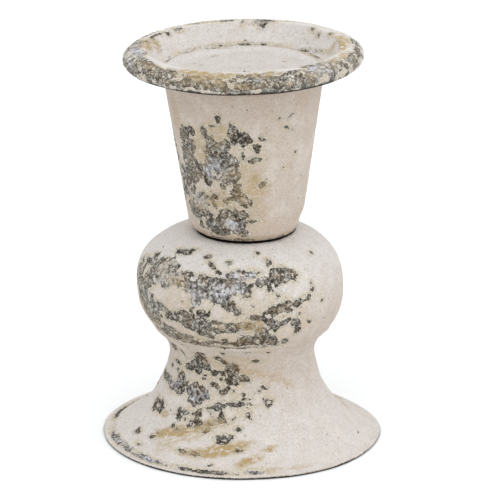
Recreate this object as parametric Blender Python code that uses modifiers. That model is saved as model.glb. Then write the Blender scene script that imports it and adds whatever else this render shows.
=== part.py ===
"""Candlestick in painted sheet steel: a spun bell base and hollow knop, and a drawn cup bolted on top.

The cup carries a drip pan with a rolled rim, and a pressed plate that the candle stands on.
Metres, +Z up. The origin is the centre of the ring that the base rests on, and +Z is the axis of the turning.
Every wall is one thickness of sheet. Pieces that touch keep a gap of CONTACT_GAP.
"""

import math

import bpy

# Sheet and fit
BASE_SHEET = 0.0012
KNOP_SHEET = 0.0012
CUP_SHEET = 0.0010
PAN_SHEET = 0.0010
PLATE_SHEET = 0.0008
CONTACT_GAP = 0.0003
LAP_LENGTH = 0.0045

# Bell base: a wide foot that sweeps up to a neck and opens again under the knop
BASE_RADIUS = 0.0666
FOOT_LIP_WIDTH = 0.0026
NECK_RADIUS = 0.0347
NECK_HEIGHT = 0.0407
SEAM_RADIUS = 0.0425
SEAM_HEIGHT = 0.0554
FLARE_SHARPNESS = 1.18
FLARE_SWEEP = 2.16

# Hollow knop: two pressed shells that meet at the widest circle
KNOP_RADIUS = 0.0489
KNOP_EQUATOR_HEIGHT = 0.0754
KNOP_LOWER_RISE = 0.0320
KNOP_LOWER_FULLNESS = 2.57
KNOP_UPPER_RISE = 0.0290
KNOP_UPPER_FULLNESS = 2.48
KNOP_SEAT_RADIUS = 0.0262
KNOP_SEAT_HEIGHT = 0.1015

# Cup: a tapered bucket that stands on the knop's flat seat
CUP_FLOOR_HEIGHT = KNOP_SEAT_HEIGHT + CONTACT_GAP
CUP_FLOOR_RADIUS = 0.0207
CUP_CORNER_HEIGHT = 0.0085
CUP_LOWER_RADIUS = 0.0273
CUP_MOUTH_RADIUS = 0.0375
CUP_MOUTH_HEIGHT = 0.1790
CUP_MOUTH_CORNER = 0.0012

# Drip pan: a ledge on the cup's mouth, a sloping wall and a rolled rim
LEDGE_HOLE_RADIUS = 0.0353
LEDGE_RADIUS = 0.0372
LEDGE_HEIGHT = CUP_MOUTH_HEIGHT + CONTACT_GAP + PAN_SHEET
RIM_CENTRE_RADIUS = 0.0480
RIM_CENTRE_HEIGHT = 0.1864
RIM_HALF_WIDTH = 0.0083
RIM_HALF_HEIGHT = 0.00505
RIM_CURL_START = math.radians(108)
RIM_CURL_END = math.radians(-118)

# Candle plate: a flange on the pan's ledge round a floor that is pressed a little lower
PLATE_RADIUS = 0.0374
PLATE_HEIGHT = LEDGE_HEIGHT + CONTACT_GAP + PLATE_SHEET
PLATE_STEP_OUTER = 0.0348
PLATE_STEP_INNER = 0.0330
PLATE_STEP_DEPTH = 0.0010

# Bolt that clamps the cup to the knop, with its washers and nut (M6)
BOLT_HOLE_RADIUS = 0.0034
BOLT_RADIUS = 0.0030
BOLT_LENGTH = 0.0160
BOLT_TIP_CHAMFER = 0.0005
HEX_ACROSS_FLATS = 0.0100
HEX_CHAMFER = 0.0005
BOLT_HEAD_HEIGHT = 0.0040
NUT_HEIGHT = 0.0050
NUT_BORE_RADIUS = 0.00325
WASHER_BORE_RADIUS = 0.0032
WASHER_RADIUS = 0.0090
WASHER_THICKNESS = 0.0016
SPRING_WASHER_RADIUS = 0.0056
SPRING_WASHER_SLOT = 0.0012
SPRING_WASHER_SLANT = math.radians(25)

# Fineness of the round shapes
TURN_STEPS = 48
SMALL_TURN_STEPS = 24
MERGE_DISTANCE = 0.00001
SMOOTH_ANGLE = math.radians(35)

CREAM = (0.75, 0.70, 0.63, 1)
WARM_CREAM = (0.70, 0.62, 0.53, 1)
ZINC = (0.45, 0.46, 0.47, 1)
BOLT_STEEL = (0.32, 0.32, 0.33, 1)


def clear_scene():
    for obj in list(bpy.data.objects):
        bpy.data.objects.remove(obj)


def new_collection(name):
    collection = bpy.data.collections.new(name)
    bpy.context.scene.collection.children.link(collection)
    return collection


def make_material(name, colour, roughness, metallic):
    material = bpy.data.materials.new(name)
    material.use_nodes = True
    shader = material.node_tree.nodes["Principled BSDF"]
    shader.inputs["Base Color"].default_value = colour
    shader.inputs["Roughness"].default_value = roughness
    shader.inputs["Metallic"].default_value = metallic
    return material


def place(obj, collection, material):
    """Puts an object in its collection alone, with its material."""
    for owner in list(obj.users_collection):
        owner.objects.unlink(obj)
    collection.objects.link(obj)
    obj.data.materials.clear()
    obj.data.materials.append(material)
    return obj


def turned(name, profile, steps, closed=False):
    """An object turned about Z from (radius, height) points, which run down the outer side."""
    edges = [(i, i + 1) for i in range(len(profile) - 1)]
    if closed:
        edges.append((len(profile) - 1, 0))
    mesh = bpy.data.meshes.new(name)
    mesh.from_pydata([(radius, 0, height) for radius, height in profile], edges, [])
    obj = bpy.data.objects.new(name, mesh)
    screw = obj.modifiers.new("Turn", "SCREW")
    screw.axis = "Z"
    screw.steps = steps
    screw.render_steps = steps
    screw.use_merge_vertices = True
    screw.merge_threshold = MERGE_DISTANCE
    return obj


def sheet_shell(name, profile, thickness, collection, material):
    """A turned wall of sheet whose outer face follows the profile."""
    obj = turned(name, profile, TURN_STEPS)
    wall = obj.modifiers.new("Sheet", "SOLIDIFY")
    wall.thickness = thickness
    wall.offset = -1
    wall.use_even_offset = True
    return place(obj, collection, material)


def flat_ring(name, inner, outer, bottom, thickness, collection, material):
    top = bottom + thickness
    profile = [(outer, top), (outer, bottom), (inner, bottom), (inner, top)]
    obj = turned(name, profile, SMALL_TURN_STEPS, closed=True)
    return place(obj, collection, material)


def superellipse(width, height, fullness, at):
    """Width of a rounded form at a share of its height, from 1 at the middle to 0 at the top."""
    return width * max(0.0, 1 - (at / height) ** fullness) ** (1 / fullness)


def flare_radius(height):
    """Outer radius of the bell from the foot up to the neck."""
    share = height / NECK_HEIGHT
    sweep = (1 - share) ** FLARE_SHARPNESS / (1 + FLARE_SWEEP * share)
    return NECK_RADIUS + (BASE_RADIUS - NECK_RADIUS) * sweep


def throat_radius(height):
    """Outer radius of the bell from the neck up to the seam under the knop."""
    share = (height - NECK_HEIGHT) / (SEAM_HEIGHT - NECK_HEIGHT)
    return NECK_RADIUS + (SEAM_RADIUS - NECK_RADIUS) * share**2


def knop_radius(height):
    """Outer radius of the knop at a height."""
    if height < KNOP_EQUATOR_HEIGHT:
        rise, fullness = KNOP_LOWER_RISE, KNOP_LOWER_FULLNESS
    else:
        rise, fullness = KNOP_UPPER_RISE, KNOP_UPPER_FULLNESS
    return superellipse(KNOP_RADIUS, rise, fullness, abs(height - KNOP_EQUATOR_HEIGHT))


def spaced(start, end, count, power=1.0):
    """Heights from start to end, closer together near start where power is over 1."""
    return [start + (end - start) * (i / (count - 1)) ** power for i in range(count)]


def make_base_bell(collection):
    lap = KNOP_SHEET + CONTACT_GAP
    lap_top = SEAM_HEIGHT + LAP_LENGTH
    profile = [
        (knop_radius(lap_top) - lap, lap_top + lap / 2),
        (SEAM_RADIUS - lap, SEAM_HEIGHT + lap / 2),
        (SEAM_RADIUS - lap, SEAM_HEIGHT - lap),
    ]
    throat = spaced(SEAM_HEIGHT - lap * 1.5, NECK_HEIGHT, 5)
    profile += [(throat_radius(z), z) for z in throat]
    flare = spaced(BASE_SHEET, NECK_HEIGHT, 11, power=1.7)[-2:0:-1]
    profile += [(flare_radius(z), z) for z in flare]
    profile.append((BASE_RADIUS - FOOT_LIP_WIDTH, BASE_SHEET))
    profile.append((BASE_RADIUS, BASE_SHEET))
    paint = make_material("base_paint", CREAM, 0.75, 0.0)
    return sheet_shell("base_bell", profile, BASE_SHEET, collection, paint)


def make_knop_lower_shell(collection):
    lap = KNOP_SHEET + CONTACT_GAP
    equator = KNOP_EQUATOR_HEIGHT
    profile = [
        (KNOP_RADIUS - lap, equator + LAP_LENGTH),
        (KNOP_RADIUS - lap, equator),
        (KNOP_RADIUS, equator - lap),
    ]
    below = spaced(equator - LAP_LENGTH, SEAM_HEIGHT, 7)
    profile += [(knop_radius(z), z) for z in below]
    paint = make_material("knop_lower_paint", CREAM, 0.75, 0.0)
    return sheet_shell("knop_lower_shell", profile, KNOP_SHEET, collection, paint)


def make_knop_upper_shell(collection):
    shoulder = KNOP_SEAT_RADIUS + 0.0012
    angles = [math.radians(90 * i / 9) for i in range(9)]
    above = []
    for angle in angles:
        height = KNOP_EQUATOR_HEIGHT + KNOP_UPPER_RISE * math.sin(angle) ** 1.3
        if knop_radius(height) > shoulder:
            above.append((knop_radius(height), height))
    foot = (KNOP_RADIUS, KNOP_EQUATOR_HEIGHT - CONTACT_GAP / 2)
    profile = [(BOLT_HOLE_RADIUS, KNOP_SEAT_HEIGHT), (KNOP_SEAT_RADIUS, KNOP_SEAT_HEIGHT)]
    profile += above[:0:-1] + [foot]
    paint = make_material("knop_upper_paint", CREAM, 0.75, 0.0)
    return sheet_shell("knop_upper_shell", profile, KNOP_SHEET, collection, paint)


def make_cup(collection):
    corner_radius = CUP_LOWER_RADIUS - CUP_FLOOR_RADIUS
    corner = []
    for i in range(6):
        angle = math.radians(90 * i / 5)
        radius = CUP_FLOOR_RADIUS + corner_radius * math.cos(angle)
        height = CUP_FLOOR_HEIGHT + CUP_CORNER_HEIGHT * (1 - math.sin(angle))
        corner.append((radius, height))
    profile = [
        (LEDGE_HOLE_RADIUS, CUP_MOUTH_HEIGHT),
        (CUP_MOUTH_RADIUS - CUP_MOUTH_CORNER, CUP_MOUTH_HEIGHT),
        (CUP_MOUTH_RADIUS, CUP_MOUTH_HEIGHT - CUP_MOUTH_CORNER),
        *corner,
        (BOLT_HOLE_RADIUS, CUP_FLOOR_HEIGHT),
    ]
    paint = make_material("cup_paint", WARM_CREAM, 0.78, 0.0)
    return sheet_shell("cup", profile, CUP_SHEET, collection, paint)


def make_drip_pan(collection):
    steps = 14
    curl = []
    for i in range(steps + 1):
        angle = RIM_CURL_START + (RIM_CURL_END - RIM_CURL_START) * i / steps
        radius = RIM_CENTRE_RADIUS + RIM_HALF_WIDTH * math.cos(angle)
        height = RIM_CENTRE_HEIGHT + RIM_HALF_HEIGHT * math.sin(angle)
        curl.append((radius, height))
    profile = [
        (LEDGE_HOLE_RADIUS, LEDGE_HEIGHT),
        (LEDGE_RADIUS + CONTACT_GAP, LEDGE_HEIGHT),
        (LEDGE_RADIUS + 2 * PAN_SHEET, LEDGE_HEIGHT + PAN_SHEET),
        *curl,
    ]
    paint = make_material("pan_paint", CREAM, 0.72, 0.0)
    return sheet_shell("drip_pan", profile, PAN_SHEET, collection, paint)


def make_candle_plate(collection):
    floor_height = PLATE_HEIGHT - PLATE_STEP_DEPTH
    profile = [
        (0, floor_height),
        (PLATE_STEP_INNER, floor_height),
        (PLATE_STEP_OUTER, PLATE_HEIGHT),
        (PLATE_RADIUS, PLATE_HEIGHT),
    ]
    paint = make_material("plate_paint", CREAM, 0.72, 0.0)
    return sheet_shell("candle_plate", profile, PLATE_SHEET, collection, paint)


def hexagon(name, bottom, height, collection, material):
    """A chamfered hexagonal prism standing on a height."""
    corner_radius = HEX_ACROSS_FLATS / 2 / math.cos(math.radians(30))
    bpy.ops.mesh.primitive_cylinder_add(
        vertices=6, radius=corner_radius, depth=height, location=(0, 0, bottom + height / 2)
    )
    obj = bpy.context.object
    obj.name = name
    bevel = obj.modifiers.new("Chamfer", "BEVEL")
    bevel.width = HEX_CHAMFER
    bevel.segments = 1
    return place(obj, collection, material)


def add_boolean(obj, other, operation):
    boolean = obj.modifiers.new(operation.title(), "BOOLEAN")
    boolean.operation = operation
    boolean.solver = "EXACT"
    boolean.object = other
    other.hide_render = True
    other.display_type = "WIRE"


def make_cup_bolt(collection, helpers, head_bottom):
    steel = make_material("bolt_steel", BOLT_STEEL, 0.45, 0.9)
    head = hexagon("cup_bolt", head_bottom, BOLT_HEAD_HEIGHT, collection, steel)
    tip = head_bottom - BOLT_LENGTH
    core = head_bottom + BOLT_HEAD_HEIGHT / 2
    profile = [
        (0, core),
        (BOLT_RADIUS, core),
        (BOLT_RADIUS, tip + BOLT_TIP_CHAMFER),
        (BOLT_RADIUS - BOLT_TIP_CHAMFER, tip),
        (0, tip),
    ]
    shank = place(turned("bolt_shank_helper", profile, SMALL_TURN_STEPS), helpers, steel)
    add_boolean(head, shank, "UNION")
    return head


def make_cup_nut(collection, helpers, bottom):
    zinc = make_material("nut_zinc", ZINC, 0.5, 0.8)
    nut = hexagon("cup_nut", bottom, NUT_HEIGHT, collection, zinc)
    low, high = bottom - NUT_HEIGHT, bottom + 2 * NUT_HEIGHT
    profile = [(0, high), (NUT_BORE_RADIUS, high), (NUT_BORE_RADIUS, low), (0, low)]
    bore = place(turned("nut_bore_cutter", profile, SMALL_TURN_STEPS), helpers, zinc)
    add_boolean(nut, bore, "DIFFERENCE")
    return nut


def make_spring_washer(collection, helpers, bottom):
    zinc = make_material("spring_washer_zinc", ZINC, 0.5, 0.8)
    ring = flat_ring(
        "spring_washer",
        WASHER_BORE_RADIUS,
        SPRING_WASHER_RADIUS,
        bottom,
        WASHER_THICKNESS,
        collection,
        zinc,
    )
    middle = bottom + WASHER_THICKNESS / 2
    bpy.ops.mesh.primitive_cube_add(size=1, location=(SPRING_WASHER_RADIUS, 0, middle))
    cutter = bpy.context.object
    cutter.name = "washer_slot_cutter"
    cutter.scale = (SPRING_WASHER_RADIUS * 1.2, SPRING_WASHER_SLOT, WASHER_THICKNESS * 3)
    cutter.rotation_euler = (SPRING_WASHER_SLANT, 0, 0)
    place(cutter, helpers, zinc)
    add_boolean(ring, cutter, "DIFFERENCE")
    return ring


def make_fasteners(collection, helpers):
    """The bolt, nut and three washers, stacked from the cup's floor down through the knop's seat."""
    zinc = make_material("washer_zinc", ZINC, 0.5, 0.8)
    cup_washer_bottom = CUP_FLOOR_HEIGHT + CUP_SHEET + CONTACT_GAP
    head_bottom = cup_washer_bottom + WASHER_THICKNESS + CONTACT_GAP
    knop_washer_bottom = KNOP_SEAT_HEIGHT - KNOP_SHEET - CONTACT_GAP - WASHER_THICKNESS
    spring_bottom = knop_washer_bottom - CONTACT_GAP - WASHER_THICKNESS
    nut_bottom = spring_bottom - CONTACT_GAP - NUT_HEIGHT
    for name, bottom in (("cup_washer", cup_washer_bottom), ("knop_washer", knop_washer_bottom)):
        flat_ring(
            name, WASHER_BORE_RADIUS, WASHER_RADIUS, bottom, WASHER_THICKNESS, collection, zinc
        )
    make_cup_bolt(collection, helpers, head_bottom)
    make_spring_washer(collection, helpers, spring_bottom)
    make_cup_nut(collection, helpers, nut_bottom)


def shade_round(collection):
    for obj in collection.objects:
        obj.data.shade_smooth()
        obj.data.set_sharp_from_angle(angle=SMOOTH_ANGLE)


def main():
    clear_scene()
    candlestick = new_collection("candlestick")
    helpers = new_collection("helpers")
    make_base_bell(candlestick)
    make_knop_lower_shell(candlestick)
    make_knop_upper_shell(candlestick)
    make_cup(candlestick)
    make_drip_pan(candlestick)
    make_candle_plate(candlestick)
    make_fasteners(candlestick, helpers)
    shade_round(candlestick)


main()
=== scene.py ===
import math

import bmesh
import bpy
import numpy as np
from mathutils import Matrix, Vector


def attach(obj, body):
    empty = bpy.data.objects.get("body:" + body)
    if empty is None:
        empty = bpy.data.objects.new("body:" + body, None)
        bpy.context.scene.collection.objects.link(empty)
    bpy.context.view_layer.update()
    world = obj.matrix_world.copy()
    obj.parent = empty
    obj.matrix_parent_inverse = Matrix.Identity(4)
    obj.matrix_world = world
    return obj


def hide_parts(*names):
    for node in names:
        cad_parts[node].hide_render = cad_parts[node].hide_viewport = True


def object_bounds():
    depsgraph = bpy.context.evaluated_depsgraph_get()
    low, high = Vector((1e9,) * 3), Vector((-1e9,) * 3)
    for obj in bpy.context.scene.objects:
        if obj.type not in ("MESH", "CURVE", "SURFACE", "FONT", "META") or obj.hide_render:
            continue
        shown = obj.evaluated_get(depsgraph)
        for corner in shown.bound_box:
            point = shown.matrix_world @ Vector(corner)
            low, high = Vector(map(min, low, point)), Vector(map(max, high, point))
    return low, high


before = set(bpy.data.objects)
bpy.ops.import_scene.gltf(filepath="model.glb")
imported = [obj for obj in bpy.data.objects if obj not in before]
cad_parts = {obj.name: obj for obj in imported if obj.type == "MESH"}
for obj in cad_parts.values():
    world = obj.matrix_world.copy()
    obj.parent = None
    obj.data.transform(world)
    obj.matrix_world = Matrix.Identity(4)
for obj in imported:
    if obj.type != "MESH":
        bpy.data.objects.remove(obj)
cad_low, cad_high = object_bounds()

# The visible model is built in millimetres and scaled to metres as each mesh is made.
MM = 0.001
BOX_LOW = np.array(cad_low) / MM + 0.01
BOX_HIGH = np.array(cad_high) / MM - 0.01

# ---------------------------------------------------------------- shape
# Radii, heights and widths in millimetres, from the foot up.
BASE_RADIUS = 66.55
FOOT_LIP = 2.6
NECK_RADIUS = 34.45
NECK_HEIGHT = 40.7
SEAM_RADIUS = 42.5
SEAM_HEIGHT = 55.4
THROAT_CURVE = 2.2
TUCK_RADIUS = 40.6
FLARE_SHARPNESS = 1.18
FLARE_SWEEP = 2.16
KNOP_RADIUS = 48.85
KNOP_EQUATOR = 75.4
KNOP_LOWER_RISE = 32.0
KNOP_LOWER_FULLNESS = 2.46
KNOP_UPPER_RISE = 29.0
KNOP_UPPER_FULLNESS = 2.48
KNOP_SEAT_RADIUS = 26.2
KNOP_SEAT_HEIGHT = 101.5
CUP_FLOOR = 101.8
CUP_SKIRT = 102.35
CUP_FOOT_RADIUS = 21.75
CUP_SKIRT_RADIUS = 15.5
CUP_SEAT_RADIUS = 14.0
CUP_CORNER_WIDTH = 5.5
CUP_CORNER_HEIGHT = 7.0
CUP_MOUTH_RADIUS = 37.5
CUP_MOUTH_HEIGHT = 179.0
HOLE_RADIUS = 4.6
LEDGE_HOLE_RADIUS = 35.3
LEDGE_RADIUS = 37.2
LEDGE_HEIGHT = 180.3
RIM_RADIUS = 48.0
RIM_HEIGHT = 186.4
RIM_HALF_WIDTH = 8.3
RIM_HALF_HEIGHT = 5.05
PLATE_RADIUS = 38.7
PLATE_HEIGHT = 181.4
PLATE_STEP_OUTER = 31.6
PLATE_STEP_INNER = 29.4
PLATE_STEP_DEPTH = 1.0
SHEET = 1.1
THIN_SHEET = 1.0
PLATE_SHEET = 0.8

# Each wall has a ring at every step along its outside, and every fifth ring inside.
RING_STEP = 0.55
INNER_STRIDE = 5
SEGMENTS = 512

# The real holder isn't straight: its cup leans to the left and its neck is off centre.
# The lean lowers the top a little, and the pan also tips sideways, more the higher it is.
LEAN = math.radians(0.74)
LEAN_PIVOT = CUP_FLOOR
LEAN_SHIFT = 1.83
LEAN_DROP = 0.6
PAN_TILT = math.radians(1.05)
PAN_TILT_RISE = 75

# How far the cup's foot stands to the right of the middle of the knop's top.
CUP_OFFSET = 3.0

# How far the base and knop stand off the axis, as (height, mm to the right).
AXIS_SHIFTS = [
    (0, 0), (8, -0.1), (25, -0.6), (34, -0.1), (48, 0.1), (56, 0), (64, -0.4), (74, -1.0),
    (86, -1.25), (92, -1.3), (101.5, -1.1),
]

# The foot is bent in at the back right and stands out a little at the front right.
# Each place is (degrees round from the front, half width in degrees, mm outwards).
FOOT_DENTS = [(128, 45, -2.4), (38, 36, 0.7)]
DENT_TOP = 20
DENT_FULL_HEIGHT = 3
DENT_RADII = (30, 44)

# The cup's lower corner is pressed in at the right: fully between the inner two heights,
# and not at all beyond the outer two.
CUP_DENT_TURN = 90
CUP_DENT_HALF_WIDTH = 55
CUP_DENT_DEPTH = 1.5
CUP_DENT_HEIGHTS = (100.5, 105.5, 107.5, 113.5)
CUP_DENT_RADII = (12, 20)


def lattice(points, cell, seed):
    """Smooth noise from -1 to 1 at each point, with features about one cell wide."""
    scaled = points / cell + 31.7 * seed
    base = np.floor(scaled).astype(np.int64)
    part = scaled - base
    eased = part * part * part * (part * (part * 6 - 15) + 10)
    total = np.zeros(len(points))
    for corner in np.ndindex(2, 2, 2):
        at = base + np.array(corner)
        mixed = at[:, 0] * 73856093 ^ at[:, 1] * 19349663 ^ at[:, 2] * 83492791 ^ seed * 961748927
        mixed = mixed & 0xFFFFFFFF
        mixed = ((mixed ^ (mixed >> 15)) * 739982445) & 0xFFFFFFFF
        mixed = ((mixed ^ (mixed >> 12)) * 695872825) & 0xFFFFFFFF
        value = (mixed >> 8 & 0xFFFF) / 32767.5 - 1
        weight = np.ones(len(points))
        for axis in range(3):
            weight *= eased[:, axis] if corner[axis] else 1 - eased[:, axis]
        total += value * weight
    return total


def turbulence(points, cell, seed, octaves=3):
    """Lattice noise with finer copies added, about -1 to 1."""
    total = np.zeros(len(points))
    size = 0.6
    for octave in range(octaves):
        total += size * lattice(points, cell / 2**octave, seed + octave)
        size *= 0.55
    return total


def smooth(value, low, high):
    """0 below low, 1 above high, and an even curve between."""
    share = np.clip((value - low) / (high - low), 0, 1)
    return share * share * (3 - 2 * share)


def fade(value, low, high):
    """1 below low, 0 above high, and an even curve between."""
    return smooth(-value, -high, -low)


# ---------------------------------------------------------------- profiles
def flare_radius(height):
    """The bell's radius below the neck."""
    share = height / NECK_HEIGHT
    sweep = (1 - share) ** FLARE_SHARPNESS / (1 + FLARE_SWEEP * share)
    return NECK_RADIUS + (BASE_RADIUS - NECK_RADIUS) * sweep


def throat_radius(height):
    """The bell's radius between the neck and the knop."""
    share = (height - NECK_HEIGHT) / (SEAM_HEIGHT - NECK_HEIGHT)
    return NECK_RADIUS + (SEAM_RADIUS - NECK_RADIUS) * share**THROAT_CURVE


def knop_radius(height):
    """The knop's radius, which is an oval that is fuller than an ellipse."""
    if height < KNOP_EQUATOR:
        rise, fullness = KNOP_LOWER_RISE, KNOP_LOWER_FULLNESS
    else:
        rise, fullness = KNOP_UPPER_RISE, KNOP_UPPER_FULLNESS
    away = abs(height - KNOP_EQUATOR) / rise
    return KNOP_RADIUS * (1 - away**fullness) ** (1 / fullness)


def arc(centre_radius, centre_height, half_width, half_height, start, end, count):
    """Points on an ellipse, from one angle in degrees to another."""
    points = []
    for i in range(count):
        angle = math.radians(start + (end - start) * i / (count - 1))
        radius = centre_radius + half_width * math.cos(angle)
        points.append((radius, centre_height + half_height * math.sin(angle)))
    return points


def resampled(points, step):
    """The same line with points an even step apart."""
    line = np.array(points, float)
    lengths = np.hypot(np.diff(line[:, 0]), np.diff(line[:, 1]))
    along = np.concatenate([[0], np.cumsum(lengths)])
    even = np.linspace(0, along[-1], max(2, round(along[-1] / step) + 1))
    radius = np.interp(even, along, line[:, 0])
    height = np.interp(even, along, line[:, 1])
    return np.stack([radius, height], 1), even


def base_profile():
    """Outside of the bell, from its top edge tucked into the knop down to the foot's edge."""
    points = [(TUCK_RADIUS, SEAM_HEIGHT + 3.6), (TUCK_RADIUS + 0.2, SEAM_HEIGHT - 2.0)]
    points.append((throat_radius(SEAM_HEIGHT - 2.5) - 0.3, SEAM_HEIGHT - 2.4))
    for i in range(25):
        height = SEAM_HEIGHT - 2.6 + (NECK_HEIGHT - SEAM_HEIGHT + 2.6) * i / 24
        points.append((throat_radius(height), height))
    for i in range(1, 120):
        height = NECK_HEIGHT * (1 - i / 120) ** 1.6
        if height > SHEET + 0.1:
            points.append((flare_radius(height), height))
    points.append((BASE_RADIUS - FOOT_LIP, SHEET + 0.1))
    points.append((BASE_RADIUS - 0.25, SHEET))
    points.append((BASE_RADIUS, SHEET - 0.3))
    return points


def knop_profile():
    """Outside of both shells, from the bolt's hole in the seat down to the seam on the bell."""
    points = [(HOLE_RADIUS, KNOP_SEAT_HEIGHT), (KNOP_SEAT_RADIUS, KNOP_SEAT_HEIGHT)]
    for i in range(1, 140):
        turn = math.pi / 2 * (1 - i / 140)
        height = KNOP_EQUATOR + KNOP_UPPER_RISE * math.sin(turn) ** 1.3
        if knop_radius(height) > KNOP_SEAT_RADIUS + 1.2:
            points.append((knop_radius(height), height))
    for i in range(60):
        height = KNOP_EQUATOR - (KNOP_EQUATOR - SEAM_HEIGHT - 0.7) * i / 59
        points.append((knop_radius(height), height))
    points.append((SEAM_RADIUS + 0.15, SEAM_HEIGHT - 0.1))
    points.append((throat_radius(SEAM_HEIGHT - 1.2) + 0.06, SEAM_HEIGHT - 1.2))
    points.append((throat_radius(SEAM_HEIGHT - 2.4) + 0.03, SEAM_HEIGHT - 2.4))
    return points


def cup_profile():
    """Outside of the cup, from its top edge under the pan down to the hole in its floor."""
    wall_foot = CUP_SKIRT + CUP_CORNER_HEIGHT
    points = [(LEDGE_HOLE_RADIUS, CUP_MOUTH_HEIGHT), (CUP_MOUTH_RADIUS - 1.6, CUP_MOUTH_HEIGHT)]
    points.append((CUP_MOUTH_RADIUS - 0.4, CUP_MOUTH_HEIGHT - 0.5))
    points.append((CUP_MOUTH_RADIUS, CUP_MOUTH_HEIGHT - 1.7))
    corner = arc(CUP_FOOT_RADIUS, wall_foot, CUP_CORNER_WIDTH, CUP_CORNER_HEIGHT, 0, -90, 16)
    points += corner
    points += [(CUP_SKIRT_RADIUS, CUP_SKIRT), (CUP_SEAT_RADIUS, CUP_FLOOR), (HOLE_RADIUS, CUP_FLOOR)]
    return points


def pan_profile():
    """Upper side of the pan, from its inner edge over the rolled rim to the rim's underside."""
    points = [(LEDGE_HOLE_RADIUS, LEDGE_HEIGHT), (LEDGE_RADIUS + 0.6, LEDGE_HEIGHT + 0.05)]
    points.append((LEDGE_RADIUS + 2.0, LEDGE_HEIGHT + 1.1))
    return points + arc(RIM_RADIUS, RIM_HEIGHT, RIM_HALF_WIDTH, RIM_HALF_HEIGHT, 108, -118, 60)


def plate_profile():
    """Upper side of the candle plate, from its middle over the pressed step to its edge."""
    floor = PLATE_HEIGHT - PLATE_STEP_DEPTH
    points = [(0.0, floor), (PLATE_STEP_INNER - 0.5, floor), (PLATE_STEP_INNER + 0.3, floor + 0.15)]
    points += [(PLATE_STEP_OUTER, PLATE_HEIGHT - 0.1), (PLATE_STEP_OUTER + 0.5, PLATE_HEIGHT)]
    return points + [(PLATE_RADIUS - 0.2, PLATE_HEIGHT), (PLATE_RADIUS, PLATE_HEIGHT - 0.25)]


# ---------------------------------------------------------------- worn places
# A patch is (degrees round from the front, height, half width, half height, tilt), in mm and
# degrees, and a last tilt of 0 is left out. Flakes are bare metal, and islands are paint left
# inside them. Cool patches are where the bare zinc looks bluish; elsewhere it is grey or brown.
# A zone adds how much of it crumbles, and a stain adds its strength. On the pan the second
# number is the distance outwards from the top of the rim, and on the plate it is the radius.
CUP_COOL = [(-27, 139, 6, 6), (-12, 112, 5, 3), (-50, 122, 8, 4)]
KNOP_COOL = [(4, 92, 8, 3), (-24, 82, 7, 6), (-50, 88, 8, 5), (-5, 86, 8, 5), (-10, 96, 6, 2)]
BASE_COOL = [(-72, 3, 18, 5), (-46, 2, 14, 4), (6, 2, 12, 3), (-60, 30, 10, 5), (-33, 29, 6, 4)]
PAN_COOL = [(-85, 3, 14, 6), (45, 5, 12, 5), (178, -2, 8, 3)]

CUP_FLAKES = [
    (-19.5, 165.8, 1.1, 1.7), (-25, 162, 1.5, 0.5), (-8, 157.5, 2.4, 4.4, 5), (0, 155.6, 2.7, 3.0),
    (9, 150.8, 1.8, 1.9, 30), (-0.5, 148, 0.7, 3.0), (7, 145, 2.8, 1.0),
    (-32.5, 158.4, 1.5, 1.8, 20), (-29, 154.4, 1.8, 2.4, 30), (-24, 150.6, 3.2, 3.4),
    (-16, 152, 2.2, 3.0, -15), (-20, 147.6, 3.4, 1.8), (-12, 144, 3.2, 2.6), (-21, 142.6, 4.6, 3.2),
    (-31, 141.4, 2.2, 4.0, 20), (-12, 137, 4.2, 2.9, 10), (-22, 136.2, 2.2, 2.0),
    (-38, 137.6, 3.0, 3.0, 10), (-33, 133, 1.7, 2.0, 20), (-19, 131.6, 1.2, 1.9),
    (-7, 131, 1.7, 1.6, 20), (-8.5, 127.8, 2.2, 1.4), (-3, 125.8, 2.2, 2.4, -30),
    (1.5, 122.8, 2.1, 1.7, -30), (6, 122.6, 0.9, 0.6), (-11, 125.3, 2.4, 1.3), (-28, 126, 1.7, 1.2),
    (-30, 122.2, 1.0, 2.2, 15), (-17, 118.6, 2.2, 1.1), (-8.5, 118, 2.2, 1.4),
    (-1.5, 117, 2.1, 1.7), (-16, 114.6, 3.6, 2.4), (-8, 113.2, 2.6, 2.0, -20), (-43, 115, 1.3, 0.9),
    (-25, 113.6, 2.2, 1.3), (-35, 115.4, 1.6, 0.8), (6.5, 113.8, 1.9, 0.5),
    (15.5, 132.4, 1.8, 1.0, 25), (14.5, 155.2, 1.5, 0.7, -20), (35, 159.3, 1.3, 0.5, -25),
    (27, 164.6, 0.6, 0.6), (37.5, 165.2, 0.8, 0.5, 40), (34.5, 139.5, 0.6, 0.6),
    (46, 146, 0.5, 0.4), (-45, 157.4, 1.9, 1.9, 30), (-52, 155.4, 1.6, 2.6), (-45, 149.6, 1.6, 2.8),
    (-51, 147, 1.8, 2.6, 10), (-46, 141.5, 2.2, 2.2, 20), (-53, 137, 2.4, 2.6),
    (-60, 134, 3.2, 2.6, 15), (-48, 132.6, 2.0, 1.6), (-42, 125, 3.0, 1.8),
    (-10, 110.4, 2.4, 1.8, -30), (-4, 108.2, 2.6, 1.6, -20),
]
CUP_ISLANDS = [
    (-38, 146.5, 2.2, 5.0), (-36, 152.8, 2.2, 3.6), (-13, 147.8, 0.5, 0.5),
    (-12.5, 140.7, 2.2, 0.6, 25), (-27, 138, 0.9, 1.6, 30), (-22, 155.6, 1.9, 2.0),
    (-6, 149.5, 2.6, 2.2), (4, 148.6, 2.2, 2.6),
]
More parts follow.
